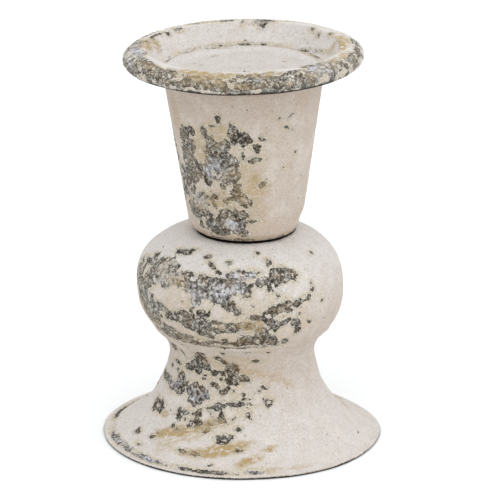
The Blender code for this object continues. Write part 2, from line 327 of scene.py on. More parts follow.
CUP_ZONES = [
    (-54, 143, 7, 20, 0, 0.66), (-28, 145, 9, 14, 0, 0.6), (-16, 140, 8, 12, 0, 0.56),
    (-12, 118, 9, 10, 0, 0.5), (-50, 118, 10, 9, 0, 0.62), (-62, 128, 8, 12, 0, 0.62),
    (-25, 110, 16, 5, 0, 0.66), (-82, 135, 8, 24, 0, 0.5), (150, 140, 10, 20, 10, 0.55),
    (170, 122, 9, 9, 0, 0.5), (-135, 158, 4, 6, 20, 0.62), (115, 116, 9, 8, 0, 0.45),
    (-110, 118, 12, 10, 0, 0.5), (85, 150, 4, 5, 0, 0.36), (-20, 103.6, 46, 1.5, 0, 0.62),
]
CUP_STAINS = [
    (-5, 104.5, 60, 1.6, 0, 0.4), (-22, 158, 5, 6, 0, 0.5), (-37, 150, 3.5, 9, 0, 0.5),
    (5, 131, 7, 7, 10, 0.7), (-22, 124, 8, 5, 0, 0.7), (10, 118, 5, 6, 0, 0.4),
    (-65, 163, 5, 8, 0, 0.35), (-2, 140, 8, 4, 0, 0.4), (-45, 121, 8, 3, 15, 0.6),
    (140, 150, 8, 10, 0, 0.6), (175, 128, 9, 8, 0, 0.5), (-120, 130, 9, 9, 0, 0.5),
]

KNOP_FLAKES = [
    (-50, 97.8, 1.6, 1.3), (-44.5, 98, 2.2, 1.2, 10), (-41, 99.2, 1.2, 0.8, 30),
    (-24.5, 98, 1.1, 1.0, -30), (-7.5, 96.6, 1.3, 1.0, 30), (15, 99.5, 0.9, 0.8, 20),
    (20.3, 96.2, 1.3, 1.8, -10), (21.5, 93.4, 1.1, 1.6, -20), (-18.5, 95.4, 2.4, 0.9, -45),
    (-13, 93.2, 1.3, 0.6, -30), (-68.5, 93.4, 1.4, 1.5), (-60, 90, 2.0, 1.2),
    (-54, 93.6, 2.2, 1.8, -20), (-50, 91.6, 2.2, 1.0, -20), (-43, 90.0, 2.0, 1.3),
    (-35, 91, 3.6, 1.0), (-22, 90, 2.2, 2.0), (-14, 90.6, 4.0, 0.6), (-3, 92.4, 3.4, 1.8, 15),
    (4.5, 92.4, 4.2, 1.8), (11, 93.4, 1.6, 0.6, -20), (30, 91.4, 5.0, 2.8, -20),
    (34, 88.6, 0.9, 1.9), (37, 90.4, 1.1, 0.8), (21.8, 90.6, 1.7, 3.4, 10), (16.5, 90, 3.9, 2.0),
    (17.5, 87, 1.1, 2.0), (12, 89.2, 2.0, 1.5, 30), (19, 85.4, 0.9, 0.8), (22.6, 83, 1.1, 1.6, -20),
    (-5, 88.2, 4.2, 2.8), (4, 86.2, 2.4, 3.0), (-13, 87.4, 5.4, 3.0), (-18.5, 85.2, 2.8, 2.6),
    (-10, 83.6, 3.6, 2.4, -20), (-40, 88.4, 6.0, 1.6), (-33, 87.2, 3.4, 1.8), (-26, 86.6, 3.4, 1.6),
    (-50.5, 86, 4.4, 1.9), (-24.5, 82, 2.4, 3.2), (-4.5, 78.6, 3.4, 2.2, -20), (-7, 81.4, 0.9, 1.6),
    (-1.8, 75.8, 1.4, 1.2), (-15, 78.6, 0.5, 2.6, -30), (-45, 73.6, 5.5, 1.8), (-33, 73, 6.5, 1.5),
    (-21, 74.6, 2.6, 1.7), (-38, 70, 5.5, 2.0), (-31, 67.8, 3.4, 2.4), (-24, 69.4, 4.0, 1.8),
    (-10, 68.4, 6.6, 2.8), (5, 69.2, 2.4, 1.5), (10.5, 66.6, 2.6, 1.6, -30),
    (0.8, 72, 1.6, 0.8, 20), (10.5, 73.2, 3.8, 1.2, -15), (15.5, 71.4, 2.6, 1.3, -25),
    (19.5, 69.0, 2.8, 1.8), (25.2, 69.8, 2.6, 1.2, 25), (20, 66.8, 1.0, 1.2),
    (16, 77.0, 2.6, 1.8, 25), (21.5, 77, 3.0, 2.1, 20), (27, 78.4, 2.6, 1.6, 25),
    (33.2, 78.4, 2.2, 1.3, 10), (37.5, 78.8, 2.2, 0.4, 10), (41.6, 79.4, 1.4, 1.0, 20),
    (28, 75.2, 1.0, 0.8), (45.5, 82.6, 0.9, 0.9, -30), (45, 85.6, 0.5, 0.5), (52, 76, 0.4, 0.3),
    (60, 96, 0.4, 0.4), (34.2, 73, 0.9, 0.8, 20), (41, 67.4, 0.8, 0.9), (32, 68.4, 1.8, 2.4, 20),
    (33.5, 64.2, 2.0, 1.2, 40), (-20, 63, 3.2, 2.2, -20), (-17, 60.4, 2.0, 1.3, -30),
    (4, 62, 3.4, 1.9, 20), (9.5, 63.2, 1.4, 1.4), (16, 60.2, 4.5, 2.7, -25), (20, 58.2, 1.4, 1.4),
    (27, 59, 1.3, 1.4, 20), (9, 58.6, 1.4, 0.9, -30), (-12, 59.4, 3.8, 1.0), (-2, 59.2, 3.2, 1.1),
    (-21, 58.4, 2.6, 1.0), (-10, 61.4, 1.4, 1.0), (-30, 58, 3.4, 1.1, -10),
    (-40, 60, 4.2, 1.4, -10), (-50, 58, 4.0, 1.2, -10), (-48, 62.8, 3.2, 1.5),
    (-57, 64.5, 4.0, 1.8), (-60, 71, 5.0, 2.4), (-68, 76, 5.0, 3.0), (-63, 82, 3.4, 2.0),
    (-28, 78, 1.4, 3.6, -15),
]
KNOP_ISLANDS = [
    (-38.5, 79.2, 8.6, 5.4), (-17.5, 79.6, 1.7, 2.6), (-11.5, 76.2, 3.6, 2.2, -20),
    (9.5, 80, 8.6, 3.6, 5), (31, 84.6, 7.0, 3.2), (26, 66.4, 3.6, 1.8), (-8, 72.6, 9.0, 1.3),
    (-38, 65, 4.4, 2.6, -30), (-30, 94, 7.0, 1.4), (-8, 64.4, 5.5, 0.9, 15), (24, 73, 4.0, 1.2),
    (-24, 61.8, 9.0, 0.9, -6), (1, 65.6, 5.0, 0.9, 8), (-6, 57.4, 4.0, 0.7),
    (26, 81.6, 8.0, 1.5, 12),
]
KNOP_ZONES = [
    (-70, 84, 16, 11, 0, 0.58), (-62, 70, 15, 9, 0, 0.64), (-42, 87, 15, 6, 0, 0.58),
    (-15, 86, 15, 7, 0, 0.60), (-20, 68, 17, 6, 0, 0.58), (-52, 92, 11, 6, 0, 0.55),
    (5, 65, 14, 6, 0, 0.46), (20, 76, 10, 6, 0, 0.4), (-95, 76, 14, 12, 0, 0.62),
    (-42, 60, 20, 3.2, 0, 0.56), (-8, 59.5, 24, 1.8, 0, 0.40), (155, 84, 20, 9, 0, 0.6),
    (120, 70, 14, 8, 0, 0.5), (-150, 68, 18, 8, 0, 0.6), (-120, 88, 12, 7, 0, 0.55),
    (175, 60, 26, 3, 0, 0.6), (106, 88, 7, 5, 0, 0.42), (-15, 56.7, 36, 1.1, 0, 0.58),
]
KNOP_STAINS = [
    (-38, 79, 9, 5, 0, 0.3), (8, 79, 9, 4, 0, 0.25), (6, 69.4, 5, 2.4, -15, 1.3),
    (-43, 88, 7, 3, 0, 0.6), (-30, 60, 20, 3, 0, 0.3), (-5, 60, 14, 3, 0, 0.2),
    (-70, 65, 14, 6, 0, 0.3), (150, 70, 20, 5, 0, 0.6), (-130, 76, 16, 5, 0, 0.5),
    (95, 62, 14, 4, 0, 0.4),
]

BASE_FLAKES = [
    (-32, 47, 3.2, 3.9), (-30, 43.4, 3.2, 2.2), (-38, 43.6, 3.0, 1.7, 15), (-46, 40.6, 2.3, 1.5),
    (-36, 40.4, 2.3, 1.6), (-62, 48.4, 2.8, 1.6, 20), (-60, 40.5, 2.2, 0.8), (-60, 37, 0.9, 0.7),
    (-70, 37, 0.9, 0.7), (-18, 48.6, 1.6, 1.7, -20), (-14.2, 47, 1.5, 0.9, -30),
    (-8, 42.2, 2.6, 3.2), (-7.5, 37.6, 2.8, 1.7), (2, 38.6, 2.3, 1.3, -20), (-3, 38.4, 1.8, 1.2),
    (10, 47.5, 1.5, 0.6, -10), (-22, 40.2, 1.9, 1.2, 30), (-29.5, 38.4, 0.6, 0.5),
    (-30, 36.8, 0.6, 0.4), (-16, 37.8, 0.6, 0.5), (-22, 35.4, 1.6, 1.1, -20),
    (-18.5, 34, 1.1, 0.7, -20), (-12, 32.8, 2.4, 1.3, 25), (-6, 32.6, 0.5, 0.4),
    (-53, 33.4, 2.4, 2.8), (-57, 29.2, 5.0, 2.0, 5), (-51, 30.6, 2.6, 2.2), (-76, 30.4, 6.0, 1.5),
    (-34.5, 29.6, 5.3, 3.8), (-34.6, 24.8, 1.3, 0.9), (-16, 25.2, 3.2, 1.7, 20),
    (-22, 24.2, 1.2, 0.5), (-14, 21.8, 1.2, 1.8), (-12.6, 19.6, 1.8, 1.3), (-3, 26.5, 4.2, 0.9),
    (0.5, 26.8, 2.4, 1.0), (2, 31, 0.8, 0.5), (1.4, 29, 1.1, 0.3), (13, 32.8, 1.4, 0.7, 15),
    (16.6, 33.8, 1.3, 0.9), (20.5, 27, 1.9, 1.7), (5.5, 22.3, 1.1, 1.6), (-5, 20.6, 1.5, 0.4, 45),
    (-29.5, 21.2, 1.7, 1.8), (-28.6, 18.2, 2.0, 1.8), (-29, 16.2, 1.3, 0.8), (-45.5, 21, 1.0, 0.9),
    (-42.5, 19.8, 2.4, 1.3, 20), (-38.4, 20.8, 1.4, 0.8), (-43, 17.7, 1.3, 0.9),
    (-68, 18.4, 4.8, 3.0), (-2, 16.6, 1.1, 0.8), (-45, 14, 1.0, 0.9), (-40, 13.4, 1.0, 0.5),
    (-22, 15, 1.6, 0.6, 30), (-53, 9.6, 1.2, 0.7), (-54, 7.8, 1.4, 0.8), (-10.5, 12.2, 2.9, 1.9),
    (-6, 13.3, 0.9, 0.7), (-1.5, 8.8, 1.3, 0.9), (-31.5, 6.5, 1.8, 0.9), (-24, 6.2, 2.3, 1.1),
    (-68, 6.7, 1.7, 1.3), (-58, 4.2, 1.0, 0.5), (-72, 1.8, 10.0, 1.1), (-46, 1.7, 8.0, 1.0),
    (-26, 1.7, 3.4, 0.7), (-12, 1.6, 5.2, 0.9), (5.5, 2.1, 4.0, 0.9), (-15, 3.4, 0.9, 0.6),
    (-13.5, 52.6, 0.7, 1.1), (0, 54.6, 2.6, 0.6), (17, 52.8, 0.9, 0.5, -20),
    (-44, 54, 0.6, 1.6, 30), (-50, 47, 0.5, 1.6, 30), (150, 34, 5.0, 3.4), (163, 27, 3.6, 2.4, 20),
    (141, 44, 2.6, 3.0), (-165, 40, 3.0, 3.6), (-150, 22, 3.4, 2.4), (-128, 33, 4.2, 2.6),
    (-118, 12, 3.0, 1.6), (-140, 8, 2.0, 1.2), (178, 14, 2.6, 1.6), (128, 20, 2.0, 1.6),
    (110, 40, 1.6, 1.8), (96, 26, 1.6, 1.2), (-100, 44, 3.0, 2.0), (-95, 24, 2.4, 2.2),
    (140, 1.8, 8.0, 1.2), (175, 1.8, 11.0, 1.4), (-110, 1.8, 9.0, 1.3), (-140, 1.8, 5.0, 1.0),
    (104, 14, 1.0, 0.8), (118, 32, 1.2, 0.9),
]
BASE_ISLANDS = [
    (20.5, 27, 0.8, 0.8), (-42, 19.6, 0.9, 0.6), (-68, 18.2, 1.6, 1.0), (-10, 12.0, 0.8, 0.5),
]
BASE_ZONES = [
    (-40, 30, 10, 6, 0, 0.3), (-35, 43, 8, 6, 0, 0.36), (-12, 38, 9, 7, 0, 0.3),
    (-30, 19, 14, 6, 0, 0.28), (-60, 2, 26, 2.2, 0, 0.45), (-12, 1.6, 16, 1.8, 0, 0.55),
    (30, 0.9, 60, 0.8, 0, 0.5), (150, 32, 14, 9, 0, 0.36), (-140, 28, 16, 9, 0, 0.36),
    (-160, 1.6, 60, 1.8, 0, 0.45),
]
BASE_STAINS = [
    (-41, 12, 10, 2.4, 20, 1.4), (-27, 15.4, 9, 1.8, 18, 1.2), (-17, 18.5, 5, 2.2, 12, 1.0),
    (-14, 8.2, 13, 2.6, 14, 1.3), (3, 5.0, 6.0, 2.2, 24, 0.9), (-56, 17, 2.4, 1.8, 0, 0.8),
    (15, 8.8, 3.6, 1.3, 10, 0.9), (-44, 6.5, 5, 3.5, 0, 0.4), (0, 43, 4, 5, 0, 0.4),
    (16, 40, 14, 2.0, -22, 0.5), (32, 35.4, 8, 1.6, -30, 0.4), (-8, 47, 12, 4, 0, 0.35),
    (-7, 9.6, 6, 1.0, 15, 0.8), (20, 2.2, 12, 1.2, 0, 0.4), (-35, 10.5, 10, 2.0, 20, 0.5),
    (160, 20, 12, 3, 20, 0.8), (-130, 14, 14, 3, -15, 0.8), (110, 8, 8, 3, 0, 0.7),
    (-170, 6, 14, 2.4, 0, 0.7),
]

PAN_FLAKES = [
    (-38, 4.4, 3.0, 1.4, 10), (-22, 6.4, 4.0, 1.2), (3, 4.6, 5.0, 1.3), (12, 6.6, 5.0, 1.4),
    (26, 5.0, 4.0, 1.5, 10), (37, 5.6, 4.4, 1.6), (50, 3.2, 4.2, 2.4, 20), (38, 1.0, 2.4, 2.2, 20),
    (-55, 6.0, 5.0, 1.4), (-84, 2.4, 4.0, 1.4), (-76, -0.6, 2.4, 1.0, 20), (-97, 1.6, 4.4, 1.2),
    (-66, 1.8, 2.2, 1.0), (168, -2.4, 1.4, 2.6), (163, -0.8, 1.8, 0.9), (172, -1.2, 1.0, 1.6, 20),
    (180, -1.4, 0.8, 1.6), (190, -0.6, 3.0, 0.8), (126, -5.2, 0.7, 0.7), (133, -3.0, 1.0, 0.8, 20),
    (116, -1.6, 0.9, 1.0), (-137, -2.0, 1.8, 1.1, 20), (-128, -3.0, 0.8, 0.9),
    (-112, -2.4, 0.6, 0.9), (-104, -0.8, 1.6, 1.0), (-120, -1.0, 2.6, 0.8), (-152, 0.0, 2.6, 0.8),
    (70, 6.0, 4.0, 1.2), (-162, -13.8, 3.6, 0.2), (177, -14.0, 3.4, 0.2),
    (128, -13.6, 4.0, 0.2, -12), (-150, 5.0, 5.0, 1.6), (165, 5.4, 6.0, 1.8), (130, 5.0, 5.0, 1.4),
    (-175, 8.0, 5.0, 1.6),
]
PAN_ISLANDS = [(-30, 3.2, 1.6, 0.8), (-8, 5.4, 2.0, 0.9), (18, 3.6, 2.4, 0.9), (44, 4.6, 1.6, 1.0)]
PAN_ZONES = [
    (-40, 8.0, 26, 6.0, 0, 0.63), (-10, 8.6, 28, 5.4, 0, 0.63), (22, 8.2, 26, 6.4, 0, 0.71),
    (48, 6.0, 16, 6.0, 0, 0.63), (-60, 6.6, 20, 6.0, 0, 0.61), (68, 8.0, 18, 4.6, 0, 0.59),
    (-90, 3.0, 22, 5.4, 0, 0.57), (-75, 8.4, 22, 5.0, 0, 0.61), (10, 2.6, 30, 1.8, 0, 0.48),
    (92, 5.0, 14, 3.0, 0, 0.48), (125, 5.4, 18, 3.0, 0, 0.54), (165, 5.6, 26, 3.2, 0, 0.57),
    (-150, 5.2, 26, 3.2, 0, 0.55), (-118, 4.6, 20, 3.2, 0, 0.58), (-115, -1.0, 16, 1.6, 0, 0.48),
    (180, 0.0, 30, 1.2, 0, 0.40), (0, 13, 200, 3.0, 0, 0.48),
]
PAN_STAINS = [
    (-20, 3.4, 14, 3.4, 0, 1.3), (-12, 4.6, 5, 3.8, 0, 1.0), (11, 2.4, 7, 2.4, 0, 1.0),
    (-55, 4.4, 10, 2.0, 0, 0.5), (62, 2.0, 10, 2.0, 0, 0.8), (92, -1.4, 14, 1.8, 0, 1.0),
    (100, 1.0, 10, 1.6, 0, 0.7), (-98, -2.4, 9, 3.0, 0, 0.8), (-110, -5.0, 3, 4.0, 0, 0.8),
    (40, 7.6, 10, 1.4, 0, 0.5), (155, 5.0, 16, 2.6, 0, 0.8), (-145, 4.0, 14, 2.6, 0, 0.7),
    (102, -6.0, 3, 3.0, 0, 0.5), (0, 9.5, 30, 1.6, 0, 0.4),
]

PLATE_FLAKES = [
    (-162, 38.2, 3.2, 0.5), (-154, 37.2, 2.4, 0.4, 20), (-171, 38.0, 1.8, 0.4),
    (174, 38.2, 3.8, 0.5), (166, 38.2, 1.6, 0.4), (152, 38.4, 4.0, 0.4), (134, 38.2, 4.6, 0.5),
    (118, 38.0, 3.2, 0.6, 10), (-136, 38.4, 1.6, 0.4), (-110, 38.3, 3.0, 0.4), (60, 38.3, 5.0, 0.4),
    (-40, 38.3, 4.0, 0.4), (-150, 27.0, 0.5, 0.5), (120, 22.0, 0.4, 0.4), (20, 12.0, 0.5, 0.4),
]
PLATE_ZONES = [(180, 38.4, 70, 0.6, 0, 0.45), (0, 38.4, 80, 0.6, 0, 0.42)]
PLATE_STAINS = [(-60, 35.5, 10, 1.5, 0, 0.5), (120, 36, 12, 1.2, 0, 0.5), (20, 34, 14, 1.6, 0, 0.3)]


# How paint breaks away. Lengths are in millimetres, and depth is how far inside a patch.
OUTSIDE = -6.0
PATCH_SPREAD = 1.12
FLAKE_SPREAD = 1.27
WARP_CELL = 3.4
CRUMB_CELL = 2.5
SPECK_LEVEL = 0.86
STAIN_LIMIT = 1.4
PATCH_KEYS = ("flakes", "islands", "zones", "stains", "cool")


def ellipse_depth(patch, turn, along, radius, warp, spread=PATCH_SPREAD):
    """Distance in mm inside an uneven ellipse on the surface; negative outside it."""
    angle, centre, half_width, half_height, tilt = patch[:5]
    step = (turn - angle + 180) % 360 - 180
    small = min(half_width, half_height)
    amount = min(1.5, 0.45 * small + 0.12)
    across = np.radians(step) * radius + amount * warp[0]
    upward = along - centre + amount * warp[1]
    sine, cosine = math.sin(math.radians(tilt)), math.cos(math.radians(tilt))
    u = (across * cosine + upward * sine) / half_width
    v = (upward * cosine - across * sine) / half_height
    return (spread - np.hypot(u, v)) * small


def worn_fields(points, turn, along, radius, places, crumb):
    """At each vertex: its depth in bare metal, how stained, how cool and how hazy it is."""
    warp = [turbulence(points, WARP_CELL, seed, 3) * 1.2 for seed in (11, 23)]

    def share(patch, extra=0.0):
        """From 0 outside a patch to 1 well inside it."""
        depth = ellipse_depth(patch, turn, along, radius, warp)
        return np.clip(depth / min(patch[2], patch[3]) + extra, 0, 1)

    flakes = np.full(len(points), OUTSIDE)
    for patch in places["flakes"]:
        flakes = np.maximum(flakes, ellipse_depth(patch, turn, along, radius, warp, FLAKE_SPREAD))
    ragged = 0.45 * lattice(points, 1.5, 5) + 0.5 * lattice(points, 2.6, 6)
    flakes = flakes + ragged * np.clip(1.4 - np.abs(flakes), 0, 1)
    coarse = 0.5 + 0.62 * turbulence(points, crumb, 41, 3)
    haze = np.zeros(len(points))
    for zone in places["zones"]:
        inside, crumbled = share(zone), zone[5]
        crumbs = 3.2 * (crumbled * smooth(inside, 0, 0.5) - coarse)
        flakes = np.maximum(flakes, crumbs + OUTSIDE * (1 - smooth(inside, 0, 0.3)))
        haze = np.maximum(haze, smooth(inside, 0, 0.5) * smooth(crumbled, 0.4, 0.6))
    for patch in places["islands"]:
        island = ellipse_depth(patch, turn, along, radius, warp)
        flakes = np.minimum(flakes, -island + 0.15 * ragged)
    specks = 3.0 * (lattice(points, 1.25, 51) - SPECK_LEVEL + 0.05 * lattice(points, 9.0, 57))
    flakes = np.maximum(flakes, np.where(specks > -0.25, specks, OUTSIDE))
    stains = np.zeros(len(points))
    for patch in places["stains"]:
        stains = np.maximum(stains, patch[5] * share(patch, 0.5))
    stains *= 1.15 + 0.7 * turbulence(points, 4.0, 71, 3)
    cool = np.zeros(len(points))
    for patch in places["cool"]:
        cool = np.maximum(cool, share(patch, 0.3))
    return flakes, np.clip(stains, 0, STAIN_LIMIT), cool, haze


# ---------------------------------------------------------------- skins
def round_from_front(x, y):
    """Degrees round from the front, positive to the right."""
    return np.degrees(np.arctan2(x, -y))


def stand(points):
    """The base and knop with the real one's slightly bent axis and bent foot."""
    x, y, z = points.T
    radius = np.maximum(np.hypot(x, y), 1)
    turn = round_from_front(x, y)
    push = np.zeros(len(points))
    for centre, half_width, depth in FOOT_DENTS:
        away = np.clip(np.abs((turn - centre + 180) % 360 - 180) / half_width, 0, 1)
        push += depth * np.cos(away * math.pi / 2) ** 2
    push *= fade(z, DENT_FULL_HEIGHT, DENT_TOP) * smooth(radius, *DENT_RADII)
    scale = 1 + push / radius
    heights, shifts = zip(*AXIS_SHIFTS)
    return np.stack([x * scale + np.interp(z, heights, shifts), y * scale, z], 1)


def lean(points):
    """The cup, pan and plate, which lean to the left on the knop."""
    x, y, z = points.T
    up = z - LEAN_PIVOT
    taller = 1 - LEAN_DROP / (RIM_HEIGHT + RIM_HALF_HEIGHT - LEAN_PIVOT)
    side = x * math.cos(LEAN) - up * math.sin(LEAN) + LEAN_SHIFT
    tipped = x * math.sin(PAN_TILT) * smooth(up, 0, PAN_TILT_RISE)
    high = LEAN_PIVOT + up * taller * math.cos(LEAN) + tipped
    return np.stack([side, y, high], 1)


def lean_dented(points):
    """The cup, with its lower corner pressed in at the right before it leans."""
    x, y, z = points.T
    radius = np.maximum(np.hypot(x, y), 1)
    away = np.abs(round_from_front(x, y) - CUP_DENT_TURN) / CUP_DENT_HALF_WIDTH
    push = CUP_DENT_DEPTH * np.cos(np.clip(away, 0, 1) * math.pi / 2) ** 2
    bottom, full_from, full_to, top = CUP_DENT_HEIGHTS
    push *= smooth(z, bottom, full_from) * fade(z, full_to, top) * smooth(radius, *CUP_DENT_RADII)
    scale = 1 - push / radius
    return lean(np.stack([x * scale, y * scale, z], 1))


def outward(outer):
    """Unit normals along a profile, on the side away from the sheet's inside."""
    slope = np.gradient(outer, axis=0)
    slope /= np.linalg.norm(slope, axis=1)[:, None]
    facing = np.stack([slope[:, 1], -slope[:, 0]], 1)
    if facing[np.argmax(outer[:, 0])][0] < 0:
        facing = -facing
    return facing


def reach_by(measure, outer, along):
    """A function from a patch's second number to the distance along the profile."""
    if measure == "crest":
        crest = along[np.argmax(outer[:, 1])]
        return lambda distance: crest + distance
    column = 1 if measure == "height" else 0
    order = np.argsort(outer[:, column], kind="stable")
    return lambda value: np.interp(value, outer[order, column], along[order])


def placed(worn, measure, outer, along):
    """The patches placed along the profile, which runs downwards where heights are given."""
    reach = reach_by(measure, outer, along)
    sign = -1 if measure == "height" else 1
    places = {key: [] for key in PATCH_KEYS}
    for key, patches in places.items():
        for angle, value, half_width, half_height, *rest in worn[key]:
            tilt, *amount = rest or (0,)
            distance = float(reach(value))
            patches.append((angle, distance, half_width, half_height, sign * tilt, *amount))
    return places


def wall_faces(rows, has_pole):
    """Quads between neighbouring rings; the last ring joins the first unless it ends at the axis."""
    faces = []
    for i in range(rows - 1 if has_pole else rows):
        here, after = i * SEGMENTS, (i + 1) % rows * SEGMENTS
        for j in range(SEGMENTS):
            k = (j + 1) % SEGMENTS
            faces.append((here + j, after + j, after + k, here + k))
    return faces


def make_skin(name, profile, worn, bend, waves, relief, material, measure="height", sheet=SHEET):
    """A closed turned wall with worn paint, whose outer side follows the profile.

    Its waves and the depth of its flakes are in mm, and bend moves its finished points.
    """
    outer, along = resampled(profile, RING_STEP)
    facing = outward(outer)
    inner_rows = list(range(len(outer) - 1, -1, -INNER_STRIDE))
    if inner_rows[-1] != 0:
        inner_rows.append(0)
    inner = outer[inner_rows] - facing[inner_rows] * sheet
    loop = np.concatenate([outer, inner])
    normal = np.concatenate([facing, -facing[inner_rows]])
    is_outer = np.concatenate([np.ones(len(outer)), np.zeros(len(inner))])
    own_along = np.concatenate([along, along[inner_rows]])

    spokes = np.linspace(0, 2 * math.pi, SEGMENTS, endpoint=False)
    ring, spoke = np.meshgrid(np.arange(len(loop)), spokes, indexing="ij")
    ring, spoke = ring.ravel(), spoke.ravel()
    radius, height = loop[ring, 0], loop[ring, 1]
    points = np.stack([radius * np.sin(spoke), -radius * np.cos(spoke), height], 1)

    places = placed(worn, measure, outer, along)
    flakes, stains, cool, haze = worn_fields(
        points, np.degrees(spoke), own_along[ring], np.maximum(radius, 1), places, worn["crumb"]
    )
    wave = waves * (lattice(points, 14.0, 81) + 0.45 * lattice(points, 6.0, 83))
    skin_grain = 0.035 * lattice(points, 1.6, 91) + 0.02 * lattice(points, 1.15, 92)
    step = -relief * smooth(flakes, -0.25, 0.3) + relief * 0.25 * smooth(flakes, 0.6, 1.6)
    pits = 0.09 * lattice(points, 1.4, 93) * smooth(flakes, 0.1, 0.6)
    push = (wave + skin_grain + step + pits) * is_outer[ring] + wave * (1 - is_outer[ring]) * -1
    across, upward = normal[ring].T
    moved = np.stack([across * np.sin(spoke), -across * np.cos(spoke), upward], 1)
    points = np.clip(bend(points + moved * push[:, None]), BOX_LOW, BOX_HIGH)
    hidden = worn["inside"] + 1.5 * turbulence(points, 10.0, 61, 4)

    has_pole = outer[0, 0] < 0.01
    faces = wall_faces(len(loop), has_pole)
    mesh = bpy.data.meshes.new(name)
    mesh.from_pydata((points * MM).tolist(), [], faces)
    layers = {
        "flake": np.where(is_outer[ring] > 0, flakes, hidden),
        "stain": stains,
        "grime_and_shade": worn["grime_and_shade"](radius, height, spoke),
        "painted_shade": worn["painted_shade"](radius, height, spoke),
        "cool": cool,
        "haze": haze,
    }
    for label, values in layers.items():
        attribute = mesh.attributes.new(label, "FLOAT", "POINT")
        attribute.data.foreach_set("value", values.astype(np.float32))
    mesh.update()
    if signed_volume(points, faces) < 0:
        mesh.flip_normals()
    if has_pole:
        close_poles(mesh)
    mesh.shade_smooth()
    obj = bpy.data.objects.new(name, mesh)
    bpy.context.scene.collection.objects.link(obj)
    obj.data.materials.append(material)
    return obj


def close_poles(mesh):
    """Joins the vertices that lie together on the axis."""
    work = bmesh.new()
    work.from_mesh(mesh)
    bmesh.ops.remove_doubles(work, verts=work.verts, dist=0.002 * MM)
    work.to_mesh(mesh)
    work.free()


def signed_volume(points, faces):
    """Volume inside the faces, negative where they face inwards."""
    corners = points[np.array(faces)]
    first = np.einsum("ij,ij->i", corners[:, 0], np.cross(corners[:, 1], corners[:, 2]))
    second = np.einsum("ij,ij->i", corners[:, 0], np.cross(corners[:, 2], corners[:, 3]))
    return (first.sum() + second.sum()) / 6


# ---------------------------------------------------------------- materials
class Graph:
    """Short ways to add nodes to one material."""

    def __init__(self, name):
        self.material = bpy.data.materials.new(name)
        self.material.use_nodes = True
        self.tree = self.material.node_tree
        self.tree.nodes.clear()
        self.output = self.add("ShaderNodeOutputMaterial")
        self.shader = self.add("ShaderNodeBsdfPrincipled")
        self.tree.links.new(self.shader.outputs[0], self.output.inputs[0])
        self.coordinates = self.add("ShaderNodeTexCoord").outputs["Object"]

    def add(self, kind, **settings):
        node = self.tree.nodes.new(kind)
        for key, value in settings.items():
            setattr(node, key, value)
        return node

    def feed(self, socket, value):
        if isinstance(value, bpy.types.NodeSocket):
            self.tree.links.new(value, socket)
        elif isinstance(value, tuple) and len(value) == 3 and socket.type == "RGBA":
            socket.default_value = (*value, 1)
        else:
            socket.default_value = value

    def math(self, operation, first, second=0.0, clamp=False):
        node = self.add("ShaderNodeMath", operation=operation, use_clamp=clamp)
        self.feed(node.inputs[0], first)
        self.feed(node.inputs[1], second)
        return node.outputs[0]

    def plus(self, first, second, clamp=False):
        return self.math("ADD", first, second, clamp)

    def minus(self, first, second):
        return self.math("SUBTRACT", first, second)

    def times(self, first, second, clamp=False):
        return self.math("MULTIPLY", first, second, clamp)

    def swing(self, noise, amount):
        """Noise from 0 to 1 as a swing of an amount about nothing."""
        return self.times(self.minus(noise, 0.5), amount)

    def ease(self, value, low, high, first=0.0, last=1.0):
        """From first, at low and below, to last, at high and above, on an even curve."""
        node = self.add("ShaderNodeMapRange", interpolation_type="SMOOTHSTEP")
        self.feed(node.inputs["Value"], value)
        node.inputs["From Min"].default_value = low
        node.inputs["From Max"].default_value = high
        node.inputs["To Min"].default_value = first
        node.inputs["To Max"].default_value = last
        return node.outputs[0]

    def mix(self, factor, first, second, blend="MIX"):
        node = self.add("ShaderNodeMix", data_type="RGBA", blend_type=blend)
        self.feed(node.inputs["Factor"], factor)
        self.feed(node.inputs[6], first)
        self.feed(node.inputs[7], second)
        return node.outputs[2]

    def noise(self, size, detail=2.0, rough=0.5, stretch=(1, 1, 1), offset=0.0, rise=0.0):
        """Noise from 0 to 1 with features of a size in mm, stretched and rising to the right."""
        place = self.add("ShaderNodeMapping", vector_type="TEXTURE")
        place.inputs["Location"].default_value = (offset, offset, offset)
        place.inputs["Rotation"].default_value = (0, -rise, 0)
        place.inputs["Scale"].default_value = stretch
        self.feed(place.inputs["Vector"], self.coordinates)
        node = self.add("ShaderNodeTexNoise")
        self.feed(node.inputs["Vector"], place.outputs[0])
        node.inputs["Scale"].default_value = 1 / (size * MM)
        node.inputs["Detail"].default_value = detail
        node.inputs["Roughness"].default_value = rough
        return node.outputs["Fac"]

    def ramp(self, value, stops):
        node = self.add("ShaderNodeValToRGB")
        self.feed(node.inputs[0], value)
        entries = node.color_ramp.elements
        while len(entries) < len(stops):
            entries.new(0.5)
        for entry, (position, colour) in zip(entries, stops):
            entry.position = position
            entry.color = (*colour, 1)
        return node.outputs[0]

    def attribute(self, name):
        return self.add("ShaderNodeAttribute", attribute_name=name).outputs["Fac"]

    def grey(self, value):
        node = self.add("ShaderNodeCombineXYZ")
        for i in range(3):
            self.feed(node.inputs[i], value)
        return node.outputs[0]

    def bump(self, height, strength, depth):
        """Bumps as deep as a depth in mm, in the shading only."""
        node = self.add("ShaderNodeBump")
        node.inputs["Strength"].default_value = strength
        node.inputs["Distance"].default_value = depth * MM
        self.feed(node.inputs["Height"], height)
        self.feed(self.shader.inputs["Normal"], node.outputs[0])


# Each skin carries these values at its vertices: depth inside bare metal, ochre stain, darkening that
# is painted shade under the cup and the rim plus a dark foot edge, painted shade as warmer and darker
# paint, bluish zinc and hazy zinc.
LAYERS = ("flake", "stain", "grime_and_shade", "painted_shade", "cool", "haze")
